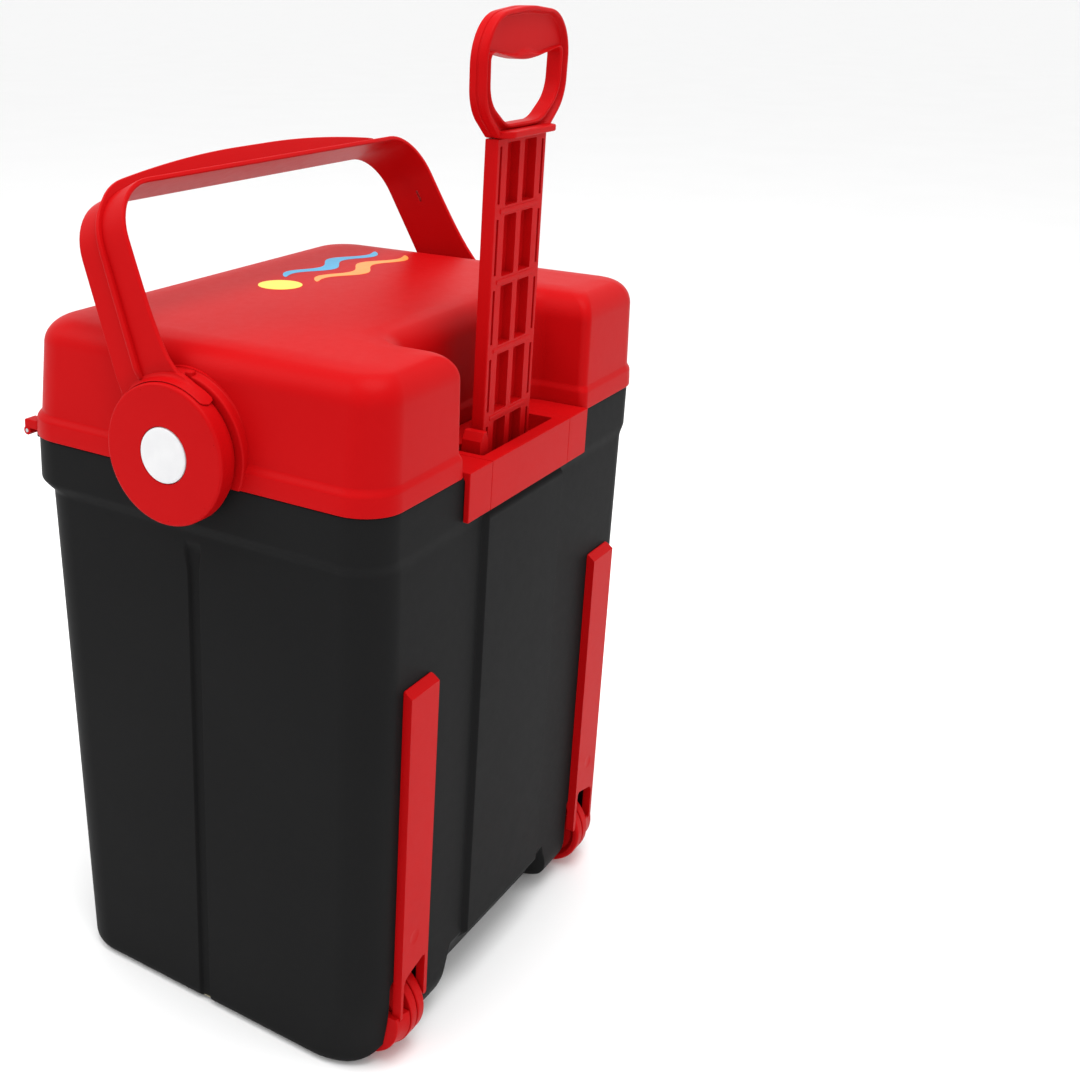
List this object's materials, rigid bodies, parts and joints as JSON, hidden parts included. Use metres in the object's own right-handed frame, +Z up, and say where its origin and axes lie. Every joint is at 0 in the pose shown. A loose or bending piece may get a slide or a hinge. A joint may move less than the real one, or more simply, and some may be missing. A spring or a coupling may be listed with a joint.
{
  "type": "wheeled cooler",
  "caption": "Insulated cooler box with a hinged domed lid, a swinging carry handle, a telescoping pull handle and wheels let into its back corners.",
  "frame": {"origin": "on the floor, under the centre of the whole object's box with the pull handle out", "axes": "+Z up, -Y towards the hinged front, +Y towards the wheels and pull handle, +X towards the end with the catch"},
  "size_m": [0.438, 0.317, 0.716],
  "materials": {
    "red_plastic": "satin moulded plastic",
    "black_plastic": "satin moulded plastic, fine grain",
    "liner_plastic": "smooth food-safe plastic",
    "white_plastic": "gloss",
    "foam": "rigid foam",
    "steel": "bright"
  },
  "bodies": {
    "root": {"outer_shell": "black_plastic", "inner_liner": "liner_plastic", "body_foam": "foam", "shaft_guide": "black_plastic", "handle_bracket": "red_plastic", "wheel_guard_right": "red_plastic", "wheel_guard_left": "red_plastic", "axle_right": "steel", "axle_left": "steel"},
    "lid": {"lid_shell": "red_plastic", "lid_liner": "liner_plastic", "lid_foam": "foam", "pivot_screw_right": "steel", "pivot_screw_left": "steel", "hinge_pin_right": "steel", "hinge_pin_left": "steel"},
    "carry_handle": {"carry_handle": "red_plastic", "hub_disc_right": "red_plastic", "hub_disc_left": "red_plastic", "hub_cap_right": "white_plastic", "hub_cap_left": "white_plastic"},
    "pull_handle": {"pull_shaft": "red_plastic", "pull_grip": "red_plastic"},
    "shaft_catch": {"shaft_catch": "red_plastic"},
    "wheel_right": {"wheel_inner_half_right": "red_plastic", "wheel_outer_half_right": "red_plastic"},
    "wheel_left": {"wheel_inner_half_left": "red_plastic", "wheel_outer_half_left": "red_plastic"}
  },
  "joints": [
    {"name": "lid_hinge", "type": "hinge", "parent": "root", "child": "lid", "pos_m": [0, -0.1551, 0.4215], "axis": [1, 0, 0], "range_deg": [0, 95]},
    {"name": "carry_handle_pivot", "type": "hinge", "parent": "lid", "child": "carry_handle", "pos_m": [0, 0, 0.442], "axis": [1, 0, 0], "range_deg": [-55, 24]},
    {"name": "pull_handle_slide", "type": "slide", "parent": "root", "child": "pull_handle", "axis": [0, 0, 1], "range_m": [-0.195, 0]},
    {"name": "catch_slide", "type": "slide", "parent": "root", "child": "shaft_catch", "axis": [1, 0, 0], "range_m": [0, 0.004], "stiffness_N_per_m": 300},
    {"name": "wheel_right_spin", "type": "hinge", "parent": "root", "child": "wheel_right", "pos_m": [0.1425, 0.126, 0.033], "axis": [1, 0, 0], "continuous": true},
    {"name": "wheel_left_spin", "type": "hinge", "parent": "root", "child": "wheel_left", "pos_m": [-0.1425, 0.126, 0.033], "axis": [1, 0, 0], "continuous": true}
  ]
}
